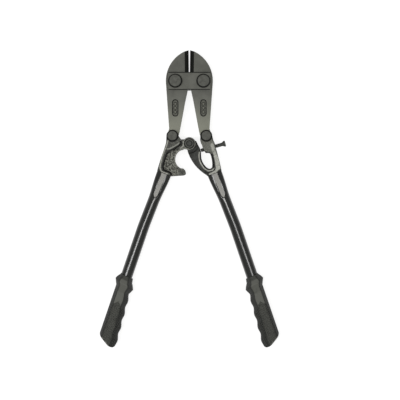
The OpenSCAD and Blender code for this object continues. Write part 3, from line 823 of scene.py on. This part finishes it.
rod = grown("rod", thread_tree(), Radius=screw_r, Length=screw_l - 2 * MM, Pitch=1 * MM,
            Ridge=0.42 * MM, Steel=screw_black.material)
rod.data.transform(Matrix.Translation((0, 0, 1.6 * MM)))
foot = Vector((0, 0, 0))
point = turned_piece("point", foot, [
    (0, 0), (1.7 * MM, 0), (2.3 * MM, 0.6 * MM), (2.3 * MM, 3 * MM), (0, 3 * MM)], 48)
flare = turned_piece("flare", foot, [
    (0, screw_l - 1 * MM), (screw_r, screw_l - 1 * MM), (3.1 * MM, screw_l - 0.2 * MM),
    (3.5 * MM, screw_l + 0.5 * MM), (4.55 * MM, screw_l + 2.0 * MM), (4.6 * MM, screw_l + 2.3 * MM),
    (0, screw_l + 2.3 * MM)], 48)
hexagon = turned_piece("hexagon", foot, [
    (0, screw_l + 2.1 * MM), (4.6 * MM, screw_l + 2.1 * MM), (4.65 * MM, screw_l + 2.4 * MM),
    (4.65 * MM, screw_l + 3.7 * MM), (4.3 * MM, screw_l + 4 * MM), (0, screw_l + 4 * MM)], 6)
hexagon.data.set_sharp_from_angle(angle=math.radians(20))
for part in (point, flare, hexagon):
    part.data.materials.append(screw_black.material)
screw = joined("adjusting_screw_threaded", [rod, point, flare, hexagon])
screw.data.transform(tip_place)
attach(screw, "adjuster")
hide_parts("adjusting_screw")


# ---- Tubes -------------------------------------------------------------------------------------
# Welded steel tube, pressed flat at the top over the forging's tang, with the press's own narrow
# flat along the crown, bent a little below it, and sprayed with gloss black enamel.

enamel = Finish("gloss_enamel", Metallic=0.0, Specular_IOR_Level=0.5)
orange_peel = enamel.noise(2.2 * MM, 1)
dust = enamel.noise(9 * MM, 4, 0.6)
enamel.colour(enamel.mix(dust, (0.013, 0.0138, 0.0125), (0.019, 0.02, 0.018)))
enamel.roughness(0.09 + dust * 0.06)
enamel.bump(orange_peel, 0.008 * MM)

tube_d = 17.4 * MM
tube_wall = 1.8 * MM
upper_lean = math.radians(21.3)
lower_lean = math.radians(18.8)
upper_l = 85 * MM
lower_l = 168 * MM
flat_w = 1.265 * tube_d
flat_t = 0.69 * tube_d
flat_l = 46 * MM
tube_top = Vector((37.9 * MM, tail_y - 56.2 * MM, mid_z))
down = Vector((math.sin(upper_lean), -math.cos(upper_lean), 0))
low_down = Vector((math.sin(lower_lean), -math.cos(lower_lean), 0))
tube_bend = tube_top + down * upper_l
bend_reach = 6 * MM
press_w = 3.9 * MM
press_l = 39 * MM
press_toe = 8 * MM


def ease(t):
    """0 up to 0 and 1 from 1 on, with a smooth rise between them."""
    t = min(max(t, 0), 1)
    return t * t * (3 - 2 * t)


def press_half(s):
    """Half the width of the press's flat, s below the tube's top: it ends in a round toe."""
    if s >= press_l:
        return 0
    past = max(0, s - press_l + press_toe) / press_toe
    return press_w * math.sqrt(1 - past ** 2)


def tube_section(s, inset, around):
    """Points (across, up) round the tube at s from its top: flattened at first, then round."""
    e = (1 - math.cos(math.pi * min(s / flat_l, 1))) / 2
    wide = flat_w / 2 * (1 - e) + tube_d / 2 * e - inset
    thick = flat_t / 2 * (1 - e) + tube_d / 2 * e - inset
    half = press_half(s)
    points = []
    for k in range(around):
        angle = 2 * math.pi * k / around
        w, h = wide * math.cos(angle), thick * math.sin(angle)
        if half > 0:
            floor_h = flat_t / 2 - 0.45 * MM + 0.03 * s - inset
            inside = 1 - ease((abs(w) - half + 0.35 * MM) / (0.7 * MM))
            if abs(h) > floor_h:
                h += (math.copysign(floor_h, h) - h) * inside
        points.append((w, h))
    return points


def tube_mesh(name, side, around=120):
    """The tube with its inner wall: down the flattened length, round the bend and to its end."""
    upper = [k * 1.0 * MM for k in range(48)] + [55 * MM, 70 * MM]
    work = bmesh.new()
    loops = []
    for inset in (0, tube_wall):
        rings = [(tube_top + down * s, upper_lean, tube_section(s, inset, around)) for s in upper]
        plain = tube_section(flat_l, inset, around)
        for t in (k / 8 for k in range(9)):
            at = tube_bend - down * bend_reach * (1 - t) ** 2 + low_down * bend_reach * t ** 2
            rings.append((at, upper_lean + (lower_lean - upper_lean) * t, plain))
        rings += [(tube_bend + low_down * s, lower_lean, plain) for s in (60 * MM, 120 * MM, lower_l)]
        rings = [[at + Vector((w * math.cos(lean), w * math.sin(lean), h)) for w, h in points]
                 for at, lean, points in rings]
        loops += rings if inset == 0 else rings[::-1]
    verts = [[work.verts.new((side * p.x, p.y, p.z)) for p in ring] for ring in loops]
    for one, two in zip(verts, verts[1:] + verts[:1]):
        for k in range(around):
            j = (k + 1) % around
            work.faces.new((one[k], one[j], two[j], two[k]))
    bmesh.ops.recalc_face_normals(work, faces=work.faces)
    return settle(as_object(name, work), 50)


for side, hand in ((-1, "left"), (1, "right")):
    tube = tube_mesh(f"tube_{hand}_enamelled", side)
    tube.data.materials.append(enamel.material)
    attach(tube, f"{hand}_handle")
    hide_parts(f"tube_{hand}")


# ---- Tube plugs --------------------------------------------------------------------------------
# Moulded caps pressed into the tubes' lower ends, inside the grips, so that the cut steel can't
# wear through.

cap_plastic = Finish("cap_plastic")
cap_grain = cap_plastic.noise(0.8 * MM, 2)
cap_plastic.colour(cap_plastic.mix(cap_grain, (0.02, 0.02, 0.02), (0.035, 0.035, 0.035)))
cap_plastic.roughness(0.5 + cap_grain * 0.2)
for hand in ("left", "right"):
    cap = break_edges(cad_copy(f"tube_plug_{hand}_moulded", f"tube_plug_{hand}"), 0.3 * MM)
    cap.data.materials.append(cap_plastic.material)
    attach(cap, f"{hand}_handle")
    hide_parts(f"tube_plug_{hand}")


# ---- Grips -------------------------------------------------------------------------------------
# Soft PVC moulded over a sleeve and pushed on hot: a faceted guard, a smooth flat below it, finger
# waves on the inside, and a knurled panel on both faces down to the slanted foot.

grip_l = 104 * MM
foot_t = 12 * MM
foot_lean = math.radians(32.5)
foot_s = lower_l + foot_t
foot_round = 9 * MM
heel_r = 3.6 * MM
toe_r = 5 * MM
toe_w = 18.3 * MM
grip_start = foot_s - grip_l
grip_t = 25 * MM
guard_t = 32 * MM
guard_l = 26 * MM
wave_deep = 0.9 * MM
wave_pitch = 20.5 * MM
palm_swell = 0.065
mouth_lean = 0.15


def peak(s, at, half):
    """A pointed rise of height 1, at millimetres along the grip and half as long each way."""
    return max(0, 1 - abs(s / MM - at) / half)


def grip_reach(s):
    """How far the grip reaches outwards, inwards and up from the tube's axis, s below its start."""
    out = (10.6 + 4.2 * peak(s, 11.5, 8.5) - 1.6 * peak(s, 0, 8)) * MM
    if s < guard_l:
        inward = (12 + 4 * peak(s, 17, 8.5) - 2 * peak(s, 0, 12)) * MM
    else:
        wave = 1 - math.cos(2 * math.pi * (s - guard_l) / wave_pitch)
        inward = 12 * MM + palm_swell * (s - guard_l) + wave_deep * wave
    up = grip_t / 2 + (guard_t - grip_t) / 2 * peak(s, 14, 13) - 1.2 * MM * peak(s, 0, 8)
    return out, inward, up


def grip_point(s, angle, lift=0.0, crisp=22):
    """A point on the grip's rounded eight-sided skin, as (across, up, along the tube)."""
    out, inward, up = grip_reach(s)
    c, d = math.cos(angle), math.sin(angle)
    wide = out if c > 0 else inward
    flats = [abs(c) / wide, abs(d) / up]
    flats.append((0.64 * up * abs(c) + 0.5 * wide * abs(d)) / (0.82 * wide * up))
    r = sum(f ** crisp for f in flats) ** (-1 / crisp) + lift
    w, h = r * c, r * d
    lean = mouth_lean * (1 - s / (grip_l + foot_t))
    return w, h, grip_start + s - lean * w


def foot_limit(w):
    """How far along the tube the slanted foot lies at w across: its inner corner is the lowest."""
    plane = foot_s - w * math.tan(foot_lean)
    corner = foot_s + 5.4 * MM + (w + 17 * MM) * math.tan(math.radians(28))
    blend = max(0, 1 - abs(plane - corner) / foot_round)
    over = min(max(0, w - (10.6 * MM - heel_r)), heel_r)
    heel = heel_r - math.sqrt(heel_r ** 2 - over ** 2)
    over = min(max(0, -w - (toe_w - toe_r)), toe_r)
    toe = toe_r - math.sqrt(toe_r ** 2 - over ** 2)
    return min(plane, corner) - foot_round * blend ** 2 / 4 - heel - toe


def in_place(w, h, s, side):
    """The point that lies w across, h up and s down the tube's axis, on the given side."""
    at = tube_bend + low_down * s + Vector((w * math.cos(lower_lean), w * math.sin(lower_lean), h))
    return Vector((side * at.x, at.y, at.z))


rubber = Finish("grip_rubber", Specular_IOR_Level=0.2)
bloom = rubber.noise(7 * MM, 4, 0.6)
mould = rubber.noise(0.35 * MM, 2)
# Painted light: faces that face straight up or down are coloured lighter than the sloping sides.
painted_light_on_flats = abs(rubber.normal_up()).above(0.93, 0.05)
rubber_tone = rubber.mix(painted_light_on_flats, (0.026, 0.027, 0.0245), (0.1, 0.102, 0.089))
rubber.colour(rubber.mix((1 - bloom).above(0.62, 0.1) * 0.5, rubber_tone, (0.03, 0.031, 0.028)))
rubber.roughness(0.42 + mould * 0.16 + bloom * 0.08)
rubber.bump(mould, 0.04 * MM)

knurled = Finish("knurled_rubber", Specular_IOR_Level=0.15)
wear_and_highlight = knurled.noise(6 * MM, 3, 0.6)
# Painted highlight on the pyramids' tips, its strength varied by a noise that also varies the roughness.
painted_tip_highlight = knurled.painted("tip")
knurled.colour(knurled.mix(painted_tip_highlight * (0.5 + wear_and_highlight), (0.009, 0.0094, 0.0083), (0.1, 0.102, 0.091)))
knurled.roughness(0.5 + wear_and_highlight * 0.2)


def grip_shell(name, side, around=128):
    """The grip's outside, closed at the foot, with the tube's bore up its middle."""
    angles = [2 * math.pi * k / around for k in range(around)]
    far = grip_l + foot_t
    stations = [2 * MM + (far - 2 * MM) * k / 150 for k in range(151)]
    work = bmesh.new()
    rings = []
    for s in stations:
        ring = []
        for angle in angles:
            w, h, at = grip_point(s, angle)
            limit = foot_limit(w)
            if at > limit:
                pull = min((at - limit) / (18 * MM), 1)
                w, h = w * (1 - pull), h * (1 - pull)
                at = foot_limit(w)
            ring.append(work.verts.new(in_place(w, h, at, side)))
        rings.append(ring)
    bore = []
    bore_r = tube_d / 2 + 0.05 * MM
    for s, lean in ((grip_start + 2 * MM, mouth_lean), (lower_l + 2 * MM, 0)):
        ring = []
        for angle in angles:
            across, up = math.cos(angle), math.sin(angle)
            at = s - lean * tube_d / 2 * across
            ring.append(work.verts.new(in_place(bore_r * across, bore_r * up, at, side)))
        bore.append(ring)
    for one, two in list(zip(rings, rings[1:])) + [(bore[0], rings[0]), (bore[1], bore[0])]:
        for k in range(around):
            j = (k + 1) % around
            work.faces.new((one[k], one[j], two[j], two[k]))
    work.faces.new(bore[1])
    bmesh.ops.remove_doubles(work, verts=rings[-1], dist=0.2 * MM)
    bmesh.ops.dissolve_degenerate(work, edges=work.edges, dist=1e-6)
    bmesh.ops.holes_fill(work, edges=[e for e in work.edges if e.is_boundary], sides=0)
    bmesh.ops.recalc_face_normals(work, faces=work.faces)
    shell = as_object(name, work)
    shell.data.materials.append(rubber.material)
    return settle(shell, 32)


def knurl_tree():
    """A low four-sided pyramid on every point of a carrier mesh, turned to the mesh's normals."""
    tree = new_tree("knurl", Geometry="NodeSocketGeometry", Width=1.63 * MM, Tip=0.6 * MM,
                    Height=0.8 * MM, Twist=0.0, Rubber="NodeSocketMaterial")
    given = tree.nodes.new("NodeGroupInput").outputs
    pyramid = gn(tree, "GeometryNodeMeshCone", {"fill_type": "NGON"}, {
        "Vertices": 4, "Radius Top": given["Tip"], "Radius Bottom": given["Width"],
        "Depth": given["Height"]})
    marked = gn(tree, "GeometryNodeStoreNamedAttribute", {"data_type": "FLOAT", "domain": "FACE"}, {
        "Geometry": pyramid.outputs["Mesh"], "Name": "tip", "Value": pyramid.outputs["Top"]})
    spun = gn(tree, "ShaderNodeCombineXYZ", {}, {"Z": given["Twist"]})
    facing = gn(tree, "GeometryNodeInputNamedAttribute", {"data_type": "FLOAT_VECTOR"}, {
        "Name": "outward"})
    align = gn(tree, "FunctionNodeAlignRotationToVector", {"axis": "Z"}, {"Vector": facing.outputs[0]})
    placed = gn(tree, "GeometryNodeInstanceOnPoints", {}, {
        "Points": given["Geometry"], "Instance": marked.outputs[0], "Rotation": align.outputs[0]})
    turned = gn(tree, "GeometryNodeRotateInstances", {}, {
        "Instances": placed.outputs[0], "Rotation": spun.outputs[0]})
    return end_tree(tree, turned.outputs[0], given["Rubber"])


knurl_nodes = knurl_tree()
knurl_pitch = 3.2 * MM
knurl_top = 42 * MM
knurl_sink = 0.3 * MM
panel_middle = -1.2 * MM
panel_bow = 6 * MM


def knurl_carrier(name, side, face):
    """Points of the knurled panel on the grip's upper (face 1) or lower (face -1) side."""
    places, normals = [], []
    rows = int((grip_l + foot_t - knurl_top) / (knurl_pitch / 2))
    for row in range(rows):
        s = knurl_top + row * knurl_pitch / 2
        out, inward, up = grip_reach(s)
        for column in range(-6, 7):
            w = (column + 0.5 * (row % 2)) * knurl_pitch + panel_middle
            if not -0.8 * inward < w < 0.74 * out:
                continue
            if s - knurl_top < panel_bow * (abs(w - panel_middle) / (8 * MM)) ** 2:
                continue
            angle = math.atan2(up, w)
            for _ in range(8):
                angle += (grip_point(s, face * angle)[0] - w) / up
            pw, ph, at = grip_point(s, face * angle, -knurl_sink)
            if at > foot_limit(pw) - 1.5 * MM:
                continue
            near = in_place(*grip_point(s, face * (angle + 0.02)), side)
            far = in_place(*grip_point(s, face * (angle - 0.02)), side)
            ahead = in_place(*grip_point(s + 1 * MM, face * angle), side)
            here = in_place(*grip_point(s, face * angle), side)
            normal = (near - far).cross(ahead - here).normalized()
            places.append(in_place(pw, ph, at, side))
            normals.append(normal if normal.z * face > 0 else -normal)
    mesh = bpy.data.meshes.new(name)
    mesh.from_pydata(places, [], [])
    mesh.attributes.new("outward", "FLOAT_VECTOR", "POINT")
    mesh.attributes["outward"].data.foreach_set("vector", [c for normal in normals for c in normal])
    return mesh


for side, hand in ((-1, "left"), (1, "right")):
    parts = [grip_shell("shell", side)]
    for face in (1, -1):
        carrier = knurl_carrier("carrier", side, face)
        parts.append(grown("panel", knurl_nodes, carrier, Width=1.63 * MM, Tip=0.6 * MM,
                           Height=0.8 * MM, Twist=side * face * lower_lean, Rubber=knurled.material))
    grip = joined(f"grip_{hand}_moulded", parts)
    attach(grip, f"{hand}_handle")
    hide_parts(f"grip_{hand}")
